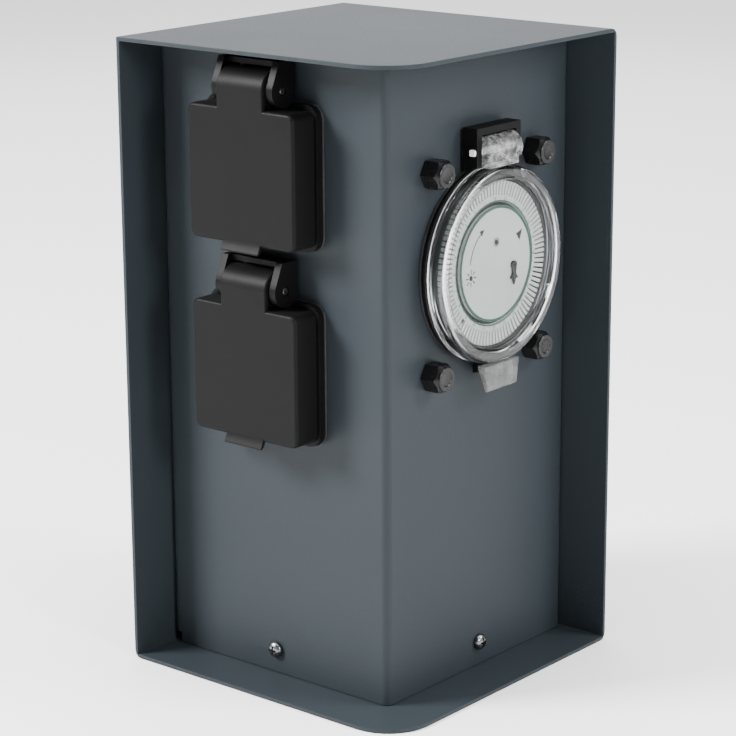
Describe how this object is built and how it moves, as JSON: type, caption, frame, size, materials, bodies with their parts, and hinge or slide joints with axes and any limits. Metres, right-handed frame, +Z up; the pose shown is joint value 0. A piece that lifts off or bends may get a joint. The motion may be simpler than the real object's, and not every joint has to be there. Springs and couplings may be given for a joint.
{
  "type": "garden power column",
  "caption": "Folded steel outdoor power column with sprung-lidded earthed sockets on one face and a round day timer under a clear hinged lid on the next.",
  "frame": {"origin": "centre of the footprint on the ground, at the base plate's underside", "axes": "+Z up; the sockets face -Y and the timer faces +X"},
  "size_m": [0.13, 0.13, 0.24],
  "materials": {
    "powder_coat": "fine-textured anthracite powder coat",
    "black_plastic": "fine-grained moulding",
    "black_rubber": "soft matt",
    "clear_plastic": "clear polished moulding",
    "white_plastic": "satin moulding",
    "grey_plastic": "satin moulding",
    "screw_steel": "dark zinc plating",
    "spring_steel": "bright",
    "brass": "plain",
    "brown_wire": "PVC insulation",
    "blue_wire": "PVC insulation",
    "green_wire": "PVC insulation",
    "black_wire": "PVC insulation"
  },
  "bodies": {
    "column": {"outer_shell": "powder_coat", "front_cover": "powder_coat", "cover_tab_left": "powder_coat", "cover_tab_right": "powder_coat", "cover_screw_left": "screw_steel", "cover_screw_right": "screw_steel", "cable_bush": "black_rubber", "terminal_block": "white_plastic", "earth_stud": "brass", "upper_socket_frame": "black_plastic", "upper_socket_insert": "black_plastic", "upper_socket_gasket": "black_rubber", "upper_contact_live": "brass", "upper_contact_neutral": "brass", "upper_earth_clip": "brass", "upper_insert_screw": "screw_steel", "upper_flange_screw_a": "screw_steel", "upper_flange_screw_b": "screw_steel", "upper_lid_pin": "spring_steel", "upper_lid_spring": "spring_steel", "lower_socket_frame": "black_plastic", "lower_socket_insert": "black_plastic", "lower_socket_gasket": "black_rubber", "lower_contact_live": "brass", "lower_contact_neutral": "brass", "lower_earth_clip": "brass", "lower_insert_screw": "screw_steel", "lower_flange_screw_a": "screw_steel", "lower_flange_screw_b": "screw_steel", "lower_lid_pin": "spring_steel", "lower_lid_spring": "spring_steel", "timer_case": "grey_plastic", "timer_motor": "grey_plastic", "timer_bezel": "black_plastic", "microswitch": "black_plastic", "cap_nut_1": "black_plastic", "cap_nut_2": "black_plastic", "cap_nut_3": "black_plastic", "cap_nut_4": "black_plastic", "timer_gasket": "black_rubber", "timer_lid_seal": "black_rubber", "timer_lid_pin": "white_plastic", "centre_plate": "white_plastic", "wire_live_in": "brown_wire", "wire_live_switched": "black_wire", "wire_neutral": "blue_wire", "wire_earth": "green_wire"},
    "upper_lid": {"upper_socket_lid": "black_plastic", "upper_lid_seal": "black_rubber"},
    "lower_lid": {"lower_socket_lid": "black_plastic", "lower_lid_seal": "black_rubber"},
    "clear_lid": {"timer_lid": "clear_plastic"},
    "dial": {"dial_carrier": "white_plastic", "tappet_ring": "white_plastic"},
    "tappet": {"sliding_tappet": "white_plastic"},
    "idler": {"idler_gear": "white_plastic"},
    "pinion": {"motor_pinion": "white_plastic"},
    "override": {"override_lever": "grey_plastic"},
    "switch_arm": {"switch_lever": "spring_steel"}
  },
  "joints": [
    {"name": "upper_lid_hinge", "type": "hinge", "parent": "column", "child": "upper_lid", "pos_m": [-0.00925, -0.053, 0.2253], "axis": [-1, 0, 0], "range_deg": [0, 100], "stiffness_Nm_per_rad": 0.0075, "springref_deg": -68.75},
    {"name": "lower_lid_hinge", "type": "hinge", "parent": "column", "child": "lower_lid", "pos_m": [-0.00925, -0.053, 0.1533], "axis": [-1, 0, 0], "range_deg": [0, 100], "stiffness_Nm_per_rad": 0.0075, "springref_deg": -68.75},
    {"name": "clear_lid_hinge", "type": "hinge", "parent": "column", "child": "clear_lid", "pos_m": [0.0512, 0.00925, 0.2015], "axis": [0, -1, 0], "range_deg": [0, 110]},
    {"name": "dial_spin", "type": "hinge", "parent": "column", "child": "dial", "pos_m": [0.045, 0.00925, 0.1591], "axis": [1, 0, 0], "continuous": true},
    {"name": "tappet_slide", "type": "slide", "parent": "dial", "child": "tappet", "axis": [0, 0.7071, 0.7071], "range_m": [0, 0.0015]},
    {"name": "idler_spin", "type": "hinge", "parent": "column", "child": "idler", "pos_m": [0.04, 0.00136, 0.14292], "axis": [1, 0, 0], "continuous": true},
    {"name": "pinion_spin", "type": "hinge", "parent": "column", "child": "pinion", "pos_m": [0.038, -0.00625, 0.15346], "axis": [1, 0, 0], "continuous": true},
    {"name": "override_turn", "type": "hinge", "parent": "column", "child": "override", "pos_m": [0.052, 0.01925, 0.1571], "axis": [1, 0, 0], "range_deg": [0, 40]},
    {"name": "switch_lever_turn", "type": "hinge", "parent": "column", "child": "switch_arm", "pos_m": [0.0293, 0.02525, 0.1591], "axis": [0, 0, 1], "range_deg": [0, 5], "stiffness_Nm_per_rad": 0.004, "springref_deg": -5.73}
  ],
  "couplings": [
    {"joint": "idler_spin", "follows": "dial_spin", "ratio": -5},
    {"joint": "pinion_spin", "follows": "dial_spin", "ratio": 16.667}
  ]
}
